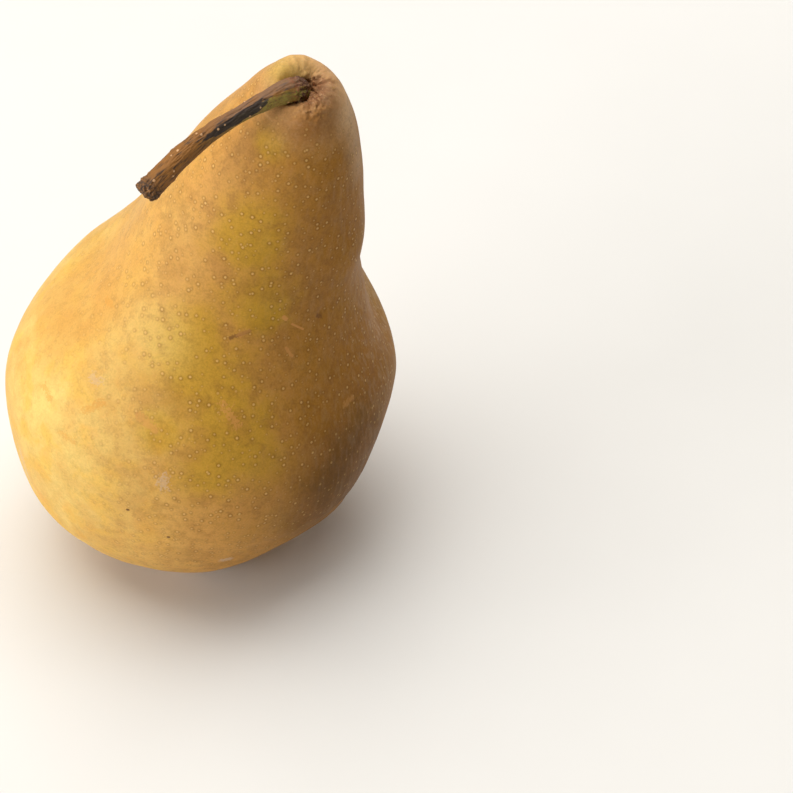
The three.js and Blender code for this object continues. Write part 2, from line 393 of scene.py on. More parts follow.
# %% Hills and hollows of the skin, as (pixel, rise, reach)
HILLS = [
    ((323, 91), 0.4, 0.5), ((301, 60), -0.3, 5), ((341, 97), 0.8, 5), ((291, 73), 0.4, 2.6),
    ((298, 67), 0.7, 2.6), ((306, 66), 0.5, 2.6), ((322, 312), -0.5, 0.9), ((353, 246), 1.6, 6),
    ((368, 284), -0.7, 4),
]
COLLAR_PIXELS = [(314, 87), (315, 96), (313, 105)]
COLLAR_REACH = 1.7
CREASE_PIXELS = [(307, 82), (307, 90), (306, 99), (308, 106), (311, 112)]
CREASE_REACH = 0.55
CREASE_DEPTH = 0.7
STEM_ROOT = hollow + 0.4 * heading + np.array([0, 0, 0.6])
EYE = np.array([0, 0, BASIN_DEPTH]) + shift
NEAR = 14

normals = point_normals(fruit_points, fruit_faces)
from_root = np.linalg.norm(fruit_points - STEM_ROOT, axis=1)
from_eye = np.linalg.norm(fruit_points - EYE, axis=1)
tip = np.flatnonzero(from_root < NEAR)
base = np.flatnonzero(from_eye < NEAR)

relief = 0.28 * grain(fruit_points, 17, 2) + 0.05 * grain(fruit_points, 5, 2)
for pixel, rise, reach in HILLS:
    relief += rise * hill(fruit_points, seen_at(pixel), reach)

# %% The crumbly collar and its creases
crumbs = np.zeros(len(fruit_points))
crumbs[tip] = grain(fruit_points[tip], 1.1, 3)
collar = np.max([hill(fruit_points, seen_at(pixel), COLLAR_REACH) for pixel in COLLAR_PIXELS], axis=0)
crease = np.max([hill(fruit_points, seen_at(pixel), CREASE_REACH) for pixel in CREASE_PIXELS], axis=0)


def band(distance, middle, width):
    """A soft ring, 1 where the distance is the middle's, that fades over the width."""
    return np.exp(-(((distance - middle) / width) ** 2))


relief += collar * (0.45 + 0.95 * crumbs) + 0.12 * band(from_root, 3.3, 1.1) * (0.4 + crumbs)
relief -= CREASE_DEPTH * crease

# %% Pleats round the stem and puckers round the eye
PLEATS, PLEAT_RISE = 13, 0.05
PUCKERS, PUCKER_RISE = 17, 0.22

around = np.arctan2(straight[:, 1], straight[:, 0])
pleats = np.cos(PLEATS * around + 2.2 * np.sin(3 * around))
puckers = np.cos(PUCKERS * around + 1.5 * np.sin(2 * around))
relief += PLEAT_RISE * pleats * band(from_root, 5.5, 2) + PUCKER_RISE * puckers * band(from_eye, 6, 2.5)
relief[base] += 0.1 * grain(fruit_points[base], 1.6, 3)
skin_points = fruit_points + normals * relief[:, None]
skin_points[:, 2] = np.maximum(skin_points[:, 2], 0)
print("relief from", round(relief.min(), 2), "to", round(relief.max(), 2), "mm")

# %% The skin piece, which keeps each point's place on the straight fruit for its streaks
skin = made_mesh("fruit_skin", skin_points, fruit_faces)


def keep(piece, name, values):
    """Keeps a number or a place for each point of a piece, for its finish to read."""
    kind, field = ("FLOAT", "value") if values.ndim == 1 else ("FLOAT_VECTOR", "vector")
    kept = piece.data.attributes.new(name, kind, "POINT")
    kept.data.foreach_set(field, values.astype(np.float32).ravel())


keep(skin, "grown_from", straight)
print("skin points", len(skin.data.vertices))

# %% Sockets for the stem and the calyx
CALYX_RADIUS = 2
CALYX_FOOT_DEPTH = 2.2
CALYX_HEIGHT = 4.6
CUP_CLEARANCE = 2
SOCKET_SHARE = 0.5
SHARP_FROM = math.radians(60)


def stem_cutter():
    """A plain stem, swollen by the gap, that cuts the socket."""
    sides, steps = 40, 80
    share = np.repeat(np.linspace(0, SOCKET_SHARE, steps), sides)
    angles = np.tile(evenly_round(sides), steps)
    body = round_stem(share, angles, stem_radius(share) + SOCKET_GAP)
    middle = stem_frame(np.array([0, SOCKET_SHARE]))[0]
    points = np.vstack([middle[:1], body, middle[1:]])
    return made_mesh("stem_cutter", points, grid_faces(sides, steps))


def cup_cutter():
    """A round hole up into the flesh for the foot of the calyx."""
    sides = 48
    angles = evenly_round(sides)
    radius = CALYX_RADIUS + SOCKET_GAP
    rim = np.stack([radius * np.cos(angles), radius * np.sin(angles), np.zeros(sides)], axis=1)
    low, high = BASIN_DEPTH - CUP_CLEARANCE, BASIN_DEPTH + CALYX_FOOT_DEPTH + SOCKET_GAP
    points = np.vstack([[[0, 0, low]], rim + (0, 0, low), rim + (0, 0, high), [[0, 0, high]]]) + shift
    return made_mesh("cup_cutter", points, grid_faces(sides, 2))


def cut(piece, cutters):
    """Takes the cutters out of the piece, and then takes them out of the scene."""
    for cutter in cutters:
        modifier = piece.modifiers.new("cut", "BOOLEAN")
        modifier.operation = "DIFFERENCE"
        modifier.solver = "MANIFOLD"
        modifier.object = cutter
    evaluated = piece.evaluated_get(bpy.context.evaluated_depsgraph_get())
    whole = piece.data
    piece.data = bpy.data.meshes.new_from_object(evaluated)
    piece.data.name = piece.name
    piece.modifiers.clear()
    bpy.data.meshes.remove(whole)
    for cutter in cutters:
        bpy.data.objects.remove(cutter)


before = len(skin.data.polygons)
cut(skin, [stem_cutter(), cup_cutter()])
skin.data.set_sharp_from_angle(angle=SHARP_FROM)
skin.data.calc_loop_triangles()
print("skin faces", before, "and", len(skin.data.polygons), "with its sockets")
print(len(skin.data.loop_triangles), "triangles, attributes", [a.name for a in skin.data.attributes])

# %% [markdown]
# ## The bark
# A stem isn't a rod: its bark has long fissures, pale breathing pores that stand out as warts, and a
# swollen, torn end where it came off the spur. The relief is worked out on a fine grid round the route.
# What the bark's colour needs later, such as the warts and the dark streak, is worked out there too and
# kept as attributes.

# %% Grid of the bark, and how far up the stem each effect reaches
BARK_SIDES = 112
BARK_STEPS = 380

share = np.repeat(np.linspace(0, 1, BARK_STEPS), BARK_SIDES)
angle = np.tile(evenly_round(BARK_SIDES), BARK_STEPS)
radius = stem_radius(share)
cylinder = np.stack([radius * np.cos(angle), radius * np.sin(angle), share * STEM_LENGTH], axis=1)

above_socket = smoothstep(share, 0.11, 0.14)
near_end = smoothstep(share, 0.9, 0.97)
near_root = above_socket * (1 - smoothstep(share, 0.16, 0.21))
fissures = -np.abs(grain(cylinder * (1, 1, 0.16), 0.55, 3))
lumps = grain(cylinder * (1, 1, 0.5), 2.6, 2)
torn = grain(cylinder, 0.7, 3)

# %% Warts of the bark, scattered by a seeded draw
WARTS = 30
wart_share = random.uniform(0.2, 0.93, WARTS)
wart_angle = random.uniform(0, 2 * math.pi, WARTS)
wart_reach = random.uniform(0.14, 0.24, WARTS)
warts = np.zeros(len(share))
for at, turn, reach in zip(wart_share, wart_angle, wart_reach):
    sideways = ((angle - turn + math.pi) % (2 * math.pi) - math.pi) * radius
    lengthways = (share - at) * STEM_LENGTH
    warts = np.maximum(warts, np.exp(-(sideways**2 + lengthways**2) / (2 * reach**2)))

# %% Relief of the bark, in millimetres
FISSURE_DEPTH = 0.26
LUMP_RISE = 0.16
WART_RISE = 0.14

bark_relief = FISSURE_DEPTH * (fissures + 0.35) + LUMP_RISE * lumps + WART_RISE * warts
bark_relief += near_end * (0.38 * torn - 0.05) + near_root * (0.45 * torn + 0.2)
bark_relief *= above_socket
body = round_stem(share, angle, radius + bark_relief)

# %% Torn cap at the stem's end
CAP_RINGS = 14
CAP_CROWN = 0.15
CAP_TEAR = 0.4
CAP_POLE_RISE = 0.3
FAR_GRAIN = 50.0

cap_share = np.repeat(np.linspace(1, 0, CAP_RINGS + 1)[1:-1], BARK_SIDES)
cap_angle = np.tile(angle[:BARK_SIDES], CAP_RINGS - 1)
end_radius = (radius + bark_relief)[-BARK_SIDES:]
cap_radius = cap_share * np.tile(end_radius, CAP_RINGS - 1)
cap_x, cap_y = cap_radius * np.cos(cap_angle), cap_radius * np.sin(cap_angle)
flat = np.stack([cap_x, cap_y, np.full(len(cap_angle), FAR_GRAIN)], axis=1)
cap_rise = CAP_TEAR * grain(flat, 0.6, 3) + CAP_CROWN * (1 - cap_share**2)
cap = round_stem(np.ones(len(cap_share)), cap_angle, cap_radius, cap_rise)
middle, _, forward = stem_frame(np.array([0.0, 1.0]))
bark_points = np.vstack([middle[:1], body, cap, middle[1:] + forward[1:] * CAP_POLE_RISE])
bark_faces = grid_faces(BARK_SIDES, BARK_STEPS + CAP_RINGS - 1)
bark = made_mesh("stem_bark", bark_points, bark_faces)
print("bark", len(bark_points), "points")
print("bark box in mm:", np.round(bark_points.min(0), 1), np.round(bark_points.max(0), 1))

# %% What the bark's finish will read
STREAK_TURN = math.radians(64)
UNDER_TURN = math.radians(130)


def whole_stem(values, at_cap):
    """Values of the bark's rings, with one for the foot's pole, the cap's rings and its pole."""
    return np.concatenate([values[:1], values, np.full(len(cap_share) + 1, at_cap)])


wobble = grain(cylinder * (1, 1, 0.3), 1.2, 3)
narrowed = 0.2 * smoothstep(share, 0.42, 0.7)
ragged_share = share + 0.07 * wobble
streak = smoothstep(np.cos(angle - STREAK_TURN) + 0.12 * wobble, 0.7 + narrowed, 0.84 + narrowed)
streak *= smoothstep(ragged_share, 0.32, 0.4)
streak *= 1 - smoothstep(ragged_share, 0.58, 0.74)
under = smoothstep(np.cos(angle - UNDER_TURN) + 0.15 * wobble, -0.25, 0.45)
keep(bark, "warts", whole_stem(warts, 0))
keep(bark, "streak", whole_stem(streak, 0))
keep(bark, "under", whole_stem(under, 0.5))
keep(bark, "along", whole_stem(share, 1.0))
keep(bark, "torn", whole_stem(np.clip(near_end + near_root, 0, 1), 1.0))
strands = np.vstack([cylinder[:1], cylinder, np.tile(cylinder[-1:], (len(cap_share) + 1, 1))])
keep(bark, "strand", strands * (1, 1, 0.15))

# %% [markdown]
# ## The calyx
# Under the fruit sit the dry remains of its flower: a small cup with five sepals that curl down and back,
# and a few wiry stamens inside. Each sepal is a curved blade with a midrib, closed all round so that it is
# a solid of its own, and the five share one mesh with the cup.

# %% Cup and sepals
SEPALS = 5
SEPAL_LENGTH = 5.4
SEPAL_WIDTH = 3
SEPAL_CURL = math.radians(55)
CUP_TOP = BASIN_DEPTH + CALYX_FOOT_DEPTH
CUP_LIP = CUP_TOP - CALYX_HEIGHT


def turned_shape(outline, sides):
    """Points and faces of a solid turned round the upright axis, from a drawn half outline."""
    a = evenly_round(sides)
    inner = outline[1:-1]
    x, y = np.outer(inner[:, 0], np.cos(a)).ravel(), np.outer(inner[:, 0], np.sin(a)).ravel()
    rings = np.stack([x, y, np.repeat(inner[:, 1], sides)], axis=1)
    points = np.vstack([[[0, 0, outline[0, 1]]], rings, [[0, 0, outline[-1, 1]]]])
    return points, grid_faces(sides, len(inner))


def sepal(turn, curl, twist):
    """Points and faces of one pointed blade that curls down, with a rib along its middle."""
    steps, sides = 26, 20
    s = np.repeat(np.linspace(0, 1, steps), sides)
    a = np.tile(evenly_round(sides), steps)
    width = SEPAL_WIDTH / 2 * (1 - 0.85 * s**1.5)
    thick = 0.32 * (1 - 0.5 * s)
    across = width * np.cos(a)
    through = thick * np.sin(a) * (0.6 + 0.4 * np.exp(-((across / 0.35) ** 2)))
    through = through + 0.22 * (across / (SEPAL_WIDTH / 2)) ** 2 - 0.06 * np.sin(9 * s + 3 * across)
    roll = twist * s
    y = across * np.cos(roll) - through * np.sin(roll)
    t = across * np.sin(roll) + through * np.cos(roll)
    bend = SEPAL_LENGTH / curl
    x = CALYX_RADIUS - 0.5 + (bend + t) * np.sin(s * curl)
    z = CUP_LIP + 1 + (bend + t) * np.cos(s * curl) - bend
    body = np.stack([x, y, z], axis=1)
    points = np.vstack([body[:sides].mean(0)[None], body, body[-sides:].mean(0)[None]])
    turned = points.copy()
    turned[:, 0] = points[:, 0] * math.cos(turn) - points[:, 1] * math.sin(turn)
    turned[:, 1] = points[:, 0] * math.sin(turn) + points[:, 1] * math.cos(turn)
    return turned, grid_faces(sides, steps)


def together(parts):
    """Points and faces of several solids in one list each."""
    points, faces, count = [], [], 0
    for some_points, some_faces in parts:
        points.append(some_points)
        faces += [tuple(i + count for i in face) for face in some_faces]
        count += len(some_points)
    return np.vstack(points), faces


CUP = [
    (0, CUP_LIP + 1.6), (1.1, CUP_LIP + 1.2), (1.55, CUP_LIP + 0.2), (1.9, CUP_LIP - 0.1),
    (2.25, CUP_LIP + 0.3), (2.3, CUP_LIP + 1.2), (CALYX_RADIUS, CUP_LIP + 2.2),
    (CALYX_RADIUS, CUP_TOP - 0.3), (1.7, CUP_TOP), (0, CUP_TOP),
]
blades = [
    sepal(2 * math.pi * i / SEPALS + random.uniform(-0.12, 0.12), SEPAL_CURL * random.uniform(0.85, 1.05),
          random.uniform(-0.5, 0.5))
    for i in range(SEPALS)
]
calyx_points, calyx_faces = together([turned_shape(smooth_curve(CUP, 5), 64), *blades])
calyx_points = calyx_points + shift
calyx_normals = point_normals(calyx_points, calyx_faces)
calyx_points += calyx_normals * (0.07 * grain(calyx_points, 0.8, 3))[:, None]
calyx = made_mesh("calyx_sepals", calyx_points, calyx_faces)
print("calyx box in mm:", np.round(calyx_points.min(0), 2), np.round(calyx_points.max(0), 2))

# %% Stamens in the cup
STAMENS = 14
STAMEN_RADIUS = 0.1


def wire(line, radius, sides=8):
    """Points and faces of a thin closed tube along a drawn line, with a small knob at its end."""
    steps = len(line)
    ahead = unit(np.gradient(line, axis=0))
    first = unit(np.cross(ahead, (0.3, 0.9, 0.2)))
    second = np.cross(ahead, first)
    swell = radius * (1 + 1.4 * smoothstep(np.linspace(0, 1, steps), 0.82, 0.92))
    a = evenly_round(sides)
    rings = [line[i] + swell[i] * (np.outer(np.cos(a), first[i]) + np.outer(np.sin(a), second[i]))
             for i in range(steps)]
    return np.vstack([line[:1], *rings, line[-1:] + ahead[-1:] * radius]), grid_faces(sides, steps)


def stamen(i):
    """One bent wire that leans out of the cup, drawn at random."""
    turn = 2 * math.pi * i / STAMENS + random.uniform(-0.2, 0.2)
    lean, droop = random.uniform(0.3, 1.3), random.uniform(1.0, 2.1)
    out = np.array([math.cos(turn), math.sin(turn), 0])
    route = [(0.9, 1.6), (1.1 + 0.2 * lean, 0.5), (1.2 + 0.6 * lean, -0.4 * droop), (1.1 + lean, -droop)]
    points = [out * reach + (0, 0, CUP_LIP + rise) for reach, rise in route]
    return wire(smooth_curve(points, 6), STAMEN_RADIUS)


stamen_points, stamen_faces = together([stamen(i) for i in range(STAMENS)])
stamens = made_mesh("calyx_stamens", stamen_points + shift, stamen_faces)
print("stamens down to", round(stamen_points[:, 2].min(), 2), "mm")

# %% [markdown]
# ## Shader maths written as plain expressions
# A finish is a network of nodes, and wiring one by hand hides the idea in it. The small class below wraps a
# socket, so that `0.3 + 0.2 * speckle` adds the Math nodes by itself. Colours and vectors go through Mix
# and Vector Math instead, and every other node comes from one method that sets the node up and links its
# sockets.

# %% A socket that understands sums
class Wire:
    """The output of a node, which adds Math or Vector Math nodes as it is used in sums."""

    def __init__(self, tree, socket):
        self.tree, self.socket = tree, socket

    def is_vector(self):
        return self.socket.type in ("VECTOR", "RGBA")

    def sum(self, operation, *values):
        wide = any(isinstance(v, Wire) and v.is_vector() for v in values)
        return self.tree.node("VectorMath" if wide else "Math", {"operation": operation},
                              {i: as_vector(v) if wide else v for i, v in enumerate(values)})

    def __add__(self, other):
        return self.sum("ADD", self, other)

    __radd__ = __add__

    def __sub__(self, other):
        return self.sum("SUBTRACT", self, other)

    def __rsub__(self, other):
        return self.sum("SUBTRACT", other, self)

    def __mul__(self, other):
        return self.sum("MULTIPLY", self, other)

    __rmul__ = __mul__

    def __truediv__(self, other):
        return self.sum("DIVIDE", self, other)


def as_vector(value):
    """A plain number three times over, and anything else as it is."""
    return (value, value, value) if isinstance(value, (int, float)) else value


# %% A finish, which is a material with one Principled shader
class Finish:
    """A material whose nodes are made and linked by the methods here."""

    def __init__(self, name, **settings):
        self.material = bpy.data.materials.new(name)
        self.material.use_nodes = True
        self.nodes = self.material.node_tree.nodes
        self.links = self.material.node_tree.links
        self.shader = self.nodes["Principled BSDF"]
        for socket, value in settings.items():
            self.shader.inputs[socket.replace("_", " ")].default_value = value

    def node(self, kind, settings=None, sockets=None, output=0):
        """Adds a node of any kind: its settings first, then the values or links of its sockets."""
        made = self.nodes.new("ShaderNode" + kind)
        for name, value in (settings or {}).items():
            setattr(made, name, value)
        for name, value in (sockets or {}).items():
            if isinstance(value, Wire):
                self.links.new(value.socket, made.inputs[name])
            else:
                made.inputs[name].default_value = value
        return Wire(self, made.outputs[output])

    def part(self, vector, name):
        """The X, Y or Z of a vector."""
        return self.node("SeparateXYZ", {}, {0: vector}, output=name)

    def measured(self, operation, *vectors):
        """A number worked out from vectors, such as their distance."""
        return self.node("VectorMath", {"operation": operation}, dict(enumerate(vectors)), output="Value")

    def place(self):
        """Where each point of the piece is, in millimetres."""
        return self.node("TexCoord", output="Object") * (1 / MM)

    def kept(self, name, output="Fac"):
        """A value that was kept at the points of the mesh."""
        return self.node("Attribute", {"attribute_name": name}, output=output)

    def noise(self, place, size, detail=3, rough=0.55, warp=0.0):
        """Noise of 0 to 1 whose lumps are about this many millimetres apart."""
        return self.node("TexNoise", {}, {"Vector": place, "Scale": 1 / size, "Detail": detail,
                                          "Roughness": rough, "Distortion": warp})

    def eased(self, value, low, high, to_low=0.0, to_high=1.0):
        """A smooth step of a value from low to high."""
        ends = {"From Min": low, "From Max": high, "To Min": to_low, "To Max": to_high}
        return self.node("MapRange", {"interpolation_type": "SMOOTHSTEP"}, {"Value": value, **ends})

    def spot(self, place, centre, reach):
        """1 at a centre, falling smoothly to 0 at the reach."""
        return self.eased(self.measured("DISTANCE", place, tuple(centre)), reach, 0)

    def mix(self, share, first, second, way="MIX"):
        """The first colour, taken over by the second where the share is 1."""
        # Socket 0 of a Mix node is its factor, 6 and 7 are its two colours, and output 2 is its colour.
        colours = {6: first if isinstance(first, Wire) else (*first, 1),
                   7: second if isinstance(second, Wire) else (*second, 1)}
        return self.node("Mix", {"data_type": "RGBA", "blend_type": way}, {0: share, **colours}, output=2)

    def bump(self, height):
        """The surface's facing, tilted by a relief given in millimetres."""
        return self.node("Bump", {}, {"Height": height * MM, "Distance": 1.0, "Strength": 1.0})

    def feed(self, **sockets):
        """Links wires to the shader's own sockets."""
        for name, value in sockets.items():
            self.links.new(value.socket, self.shader.inputs[name.replace("_", " ")])

    def on(self, piece):
        """Gives the finish to a piece."""
        piece.data.materials.clear()
        piece.data.materials.append(self.material)


def paint(code):
    """A colour given as it shows on a screen, as the linear numbers that shaders take."""
    parts = [int(code[i:i + 2], 16) / 255 for i in (1, 3, 5)]
    return tuple(c / 12.92 if c <= 0.04045 else ((c + 0.055) / 1.055) ** 2.4 for c in parts)


# %% [markdown]
# ## The finish of the skin
# The skin is thin and waxy. It ripened golden to the left, stayed olive in the middle and is browned by
# russet to the right and round the stem. No one noise gives that, so gold, ochre and umber are laid from
# side to side with cloudy borders. Patches go over them, most of them centred on the pixel where the camera
# shows them, and the whole is mottled at three sizes. Some patches are painted light, not the skin's own
# colour: painted shade at the upper left and lower right, painted sheen on the left, in part of the cap's
# blush, on the lip, along the tip's right edge and on the back bulge, and a painted reflection of the floor
# along the rim. The colours are named first, to be quick to tune.

# %% Colours of the skin
GOLD = paint("#cfa659")
PALE_GOLD = paint("#e3c674")
APRICOT = paint("#d59a4c")
OLIVE = paint("#b88f27")
OCHRE = paint("#c3914a")
UMBER = paint("#966208")
RUSSET = paint("#94642f")
BLUSH_AND_PAINTED_SHEEN = paint("#d6ab7c")
# Dark brown of the painted shade at the lower right.
PAINTED_SHADE_BROWN = paint("#4f2f06")
PAINTED_SHADE_TAN = paint("#c8964c")
MOSS = paint("#b89c3c")
CRUST = paint("#7d5236")
EARTH = paint("#8a5a24")
PALE_STREAK_AND_SHEEN = paint("#dcc3a0")
LIP_SHEEN_TAN = paint("#dfb172")
YELLOW = paint("#dba93c")

f = Finish("pear skin", Roughness=0.5, Specular_IOR_Level=0.12, Subsurface_Weight=0.1,
           Subsurface_Scale=0.002, Subsurface_Radius=(1.0, 0.5, 0.2))

# %% Where the skin is, and noises of five sizes on it
place = f.place()
grown = f.kept("grown_from", "Vector")
across = f.part(place, "X")
high = f.part(place, "Z")
cloud = f.noise(place, 22, 2)
patch = f.noise(place, 8, 3)
mottle = f.noise(place, 2.6, 4, 0.6)
speckle = f.noise(place, 0.8, 3, 0.6)
leather = f.noise(place, 0.4, 2, 0.5)

# %% Gold to the left, ochre in the middle and umber to the right
gold_share = f.eased(across + (cloud - 0.5) * 18 + (patch - 0.5) * 5, 8, -32)
umber_share = f.eased(across + (cloud - 0.5) * 14 + (patch - 0.5) * 12, 0, 38)
ground = f.mix(gold_share, f.mix(umber_share, OCHRE, UMBER), GOLD)

# %% Olive patches, at the front where they show and scattered over the back
OLIVE_PIXELS = [
    ((268, 142), 6), ((208, 395), 20), ((232, 440), 17), ((190, 345), 15), ((250, 235), 14),
    ((262, 300), 13), ((205, 470), 12), ((160, 430), 9),
]

olive_share = 0.0
for pixel, reach in OLIVE_PIXELS:
    patch_here = f.spot(place, seen_at(pixel), reach)
    olive_share = f.node("Math", {"operation": "MAXIMUM"}, {0: olive_share, 1: patch_here})
olive_share = f.eased(olive_share * 1.1 + (patch - 0.5) * 1.3 + (mottle - 0.5) * 0.3, 0.0, 1.0)
behind = f.eased(f.part(place, "Y"), -4, 14)
back_olive = f.eased(f.noise(place + (0, 70, 0), 17, 3), 0.46, 0.7) * behind
ground = f.mix(olive_share * 0.75, ground, OLIVE)
ground = f.mix(back_olive * 0.5, ground, OLIVE)

# %% Zones as (pixel, reach): painted shade in tan at the upper left, painted sheen in pale gold on the left, painted shade in dark brown at the lower right
UPPER_LEFT_SHADE_PIXELS = [((118, 256), 32), ((72, 300), 20)]
LEFT_SHEEN_PIXELS = [((58, 448), 24), ((152, 338), 13), ((32, 400), 14)]
LOWER_RIGHT_SHADE_PIXELS = [((362, 455), 34), ((335, 500), 24)]


def zone(pixels, share=0.0):
    """A share to which a soft spot is added at each of these pixels."""
    for pixel, reach in pixels:
        share = f.spot(place, seen_at(pixel), reach) * 0.7 + share
    return share


# Painted shade: tan laid over the upper-left shoulder darkens it where less light falls.
upper_left_shade_share = f.eased(zone(UPPER_LEFT_SHADE_PIXELS), 0.0, 0.85)
ground = f.mix(upper_left_shade_share * 0.8, ground, PAINTED_SHADE_TAN)
# Painted sheen: pale gold spots on the left side, where the skin shows a soft sheen.
for pixel, reach in LEFT_SHEEN_PIXELS:
    ground = f.mix(f.spot(place, seen_at(pixel), reach) * 0.4, ground, PALE_GOLD)
# Painted shade: dark brown laid over the lower right of the front, standing in for the shade there.
lower_right_shade_share = f.eased(zone(LOWER_RIGHT_SHADE_PIXELS, (patch - 0.5) * 0.3), 0.0, 1.1)
ground = f.mix(lower_right_shade_share * 0.7, ground, PAINTED_SHADE_BROWN)

# %% Marbling: pale, yellow and apricot on the ripe side, russet on the other
blotch = f.eased(f.noise(place, 6, 4, 0.55, 0.3), 0.38, 0.74)
warm = f.eased(f.noise(place + (40, 0, 0), 4.5, 4, 0.55, 0.4), 0.46, 0.76)
ripe = f.eased(f.noise(place + (0, 0, 55), 7, 3, 0.55, 0.3), 0.46, 0.66)
plain_share = gold_share * (1 - 0.75 * upper_left_shade_share)
ground = f.mix(blotch * plain_share * 0.6, ground, PALE_GOLD)
ground = f.mix(ripe * plain_share * 0.5, ground, YELLOW)
ground = f.mix(warm * plain_share * 0.5, ground, APRICOT)
browned = f.eased(patch + (mottle - 0.5) * 0.6, 0.55, 0.35)
ground = f.mix(browned * (1 - gold_share) * 0.3, ground, RUSSET)

# %% Russet cap round the stem, with its patches, blush that is partly painted sheen, painted sheen on the lip and a painted highlight along its right edge
MOSS_PIXEL = (288, 75)
LIP_SHEEN_PIXEL = (300, 64)
EARTH_PIXELS = [((298, 121), 9), ((322, 120), 8)]
TIP_HIGHLIGHT_PIXELS = [(342, 106), (347, 118), (351, 132), (355, 148), (358, 166)]

cap_share = f.spot(place, tuple(STEM_ROOT + (2, 0, 0)), 19)
cap_share = f.eased(cap_share + (patch - 0.5) * 0.5, 0.1, 0.95)
# The blush over the cap is partly the russet's own pink and partly painted sheen on the tip.
ground = f.mix(cap_share * 0.7, ground, BLUSH_AND_PAINTED_SHEEN)
ground = f.mix(f.spot(place, seen_at(MOSS_PIXEL), 6.5) * 0.75, ground, MOSS)
# Painted sheen: a pale tan laid on the lip behind the stem.
ground = f.mix(f.spot(place, seen_at(LIP_SHEEN_PIXEL), 4.5) * 0.6, ground, LIP_SHEEN_TAN)
for pixel, reach in EARTH_PIXELS:
    earth_share = f.eased(f.spot(place, seen_at(pixel), reach) + (mottle - 0.5) * 0.4, 0.1, 0.9)
    ground = f.mix(earth_share * 0.6, ground, EARTH)
# Painted highlight: pale spots along the tip's right edge.
for pixel in TIP_HIGHLIGHT_PIXELS:
    ground = f.mix(f.spot(place, seen_at(pixel), 6) * 0.22, ground, PALE_STREAK_AND_SHEEN)

# %% Crusty collar with its flakes, and blush under the rim that is a painted reflection of the floor
collar_share = f.spot(place, seen_at(COLLAR_PIXELS[1]), 6)
collar_share = f.eased(collar_share + (mottle - 0.5) * 0.7 + (speckle - 0.5) * 0.6, 0.0, 0.6)
ground = f.mix(collar_share * 0.85, ground, CRUST)
flake_share = f.eased(f.noise(place, 0.5, 2), 0.6, 0.7) * collar_share
ground = f.mix(flake_share * 0.45, ground, BLUSH_AND_PAINTED_SHEEN)
# Painted reflection: blush along the rim at the foot stands in for the floor's light on it.
painted_floor_reflection_share = f.eased(high + (patch - 0.5) * 12, 14, 1)
ground = f.mix(painted_floor_reflection_share * 0.75, ground, BLUSH_AND_PAINTED_SHEEN)

# %% Pale streaks that run along the growth of the russet side, and painted sheen in them on the back bulge
SHEEN_BULGE_PIXEL = (376, 312)
along_growth = f.noise(grown * (1, 1, 0.05), 1.1, 3, 0.6)
# The pale streaks on the russet side are the skin's own; on the back bulge they are painted sheen.
streaks_and_sheen = 0.1 * umber_share + 0.12 * f.spot(place, seen_at(SHEEN_BULGE_PIXEL), 26)
ground = f.mix(f.eased(along_growth, 0.4, 0.75) * streaks_and_sheen, ground, PALE_STREAK_AND_SHEEN)

# %% Mottling in light and dark
light_dark = f.eased(mottle, 0.25, 0.75, 0.93, 1.06) * f.eased(speckle, 0.2, 0.8, 0.93, 1.06)
light_dark = light_dark * f.eased(leather, 0.2, 0.8, 0.95, 1.05)
light_dark = 1 + (light_dark - 1) * (1.5 - 0.5 * gold_share)
grey = f.node("CombineXYZ", {}, {0: light_dark, 1: light_dark, 2: light_dark})
ground = f.mix(1.0, ground, grey, "MULTIPLY")

# %% [markdown]
# ## Pores
# The skin breathes through pores: raised pale dots about half a millimetre wide, each in a slightly darker
# ring. A Voronoi texture scatters one point to each cell of space. Its plain distance would give dots of
# odd sizes, and rings with nothing in them, because most points lie above or below the skin. So the part of
# the distance that runs along the skin's facing is taken out: a point close to the skin then gives one
# whole dot, the others none.

# %% Pores
PORE_CELL = 1.78
PORE_DEPTH = 0.7
PORE_PALE = paint("#dcb26c")
PORE_RING = paint("#70480f")

cells = {"Vector": place, "Scale": 1 / PORE_CELL}
pore_at = f.node("TexVoronoi", {}, cells, output="Position")
pore_draw = f.part(f.node("TexVoronoi", {}, cells, output="Color"), "X")
facing_out = f.node("TexCoord", output="Normal")
to_pore = pore_at - place
off_skin = f.measured("DOT_PRODUCT", to_pore, facing_out)
pore_gap = f.measured("LENGTH", to_pore - facing_out * off_skin)
off_skin = f.node("Math", {"operation": "ABSOLUTE"}, {0: off_skin})
pore_here = f.eased(off_skin, PORE_DEPTH, PORE_DEPTH * 0.7) * (0.3 + 0.7 * pore_draw)
pore_size = 0.68 + 0.45 * pore_draw
pore_dot = f.eased(pore_gap / pore_size, 0.33, 0.14) * pore_here
pore_ring = f.eased(pore_gap / pore_size, 0.7, 0.28) * pore_here
pore_fade = f.eased(gold_share, 0.25, 1.0, 1.0, 0.35) + 0.3 * behind * gold_share
pore_fade = pore_fade * (1 - 0.8 * cap_share) * (1 - 0.5 * lower_right_shade_share)
ground = f.mix(pore_ring * pore_fade * (0.44 - 0.2 * gold_share), ground, PORE_RING)
ground = f.mix(pore_dot * pore_fade * 0.75, ground, PORE_PALE)

# %% [markdown]
# ## Scars and scuffs
# Each fruit has its own rubs and healed scratches. A scratch is a streak: the distance to the line between
# two points that show at known pixels, roughened by fine noise. A rub is a streak too, but wider, paler and
# crumbled.

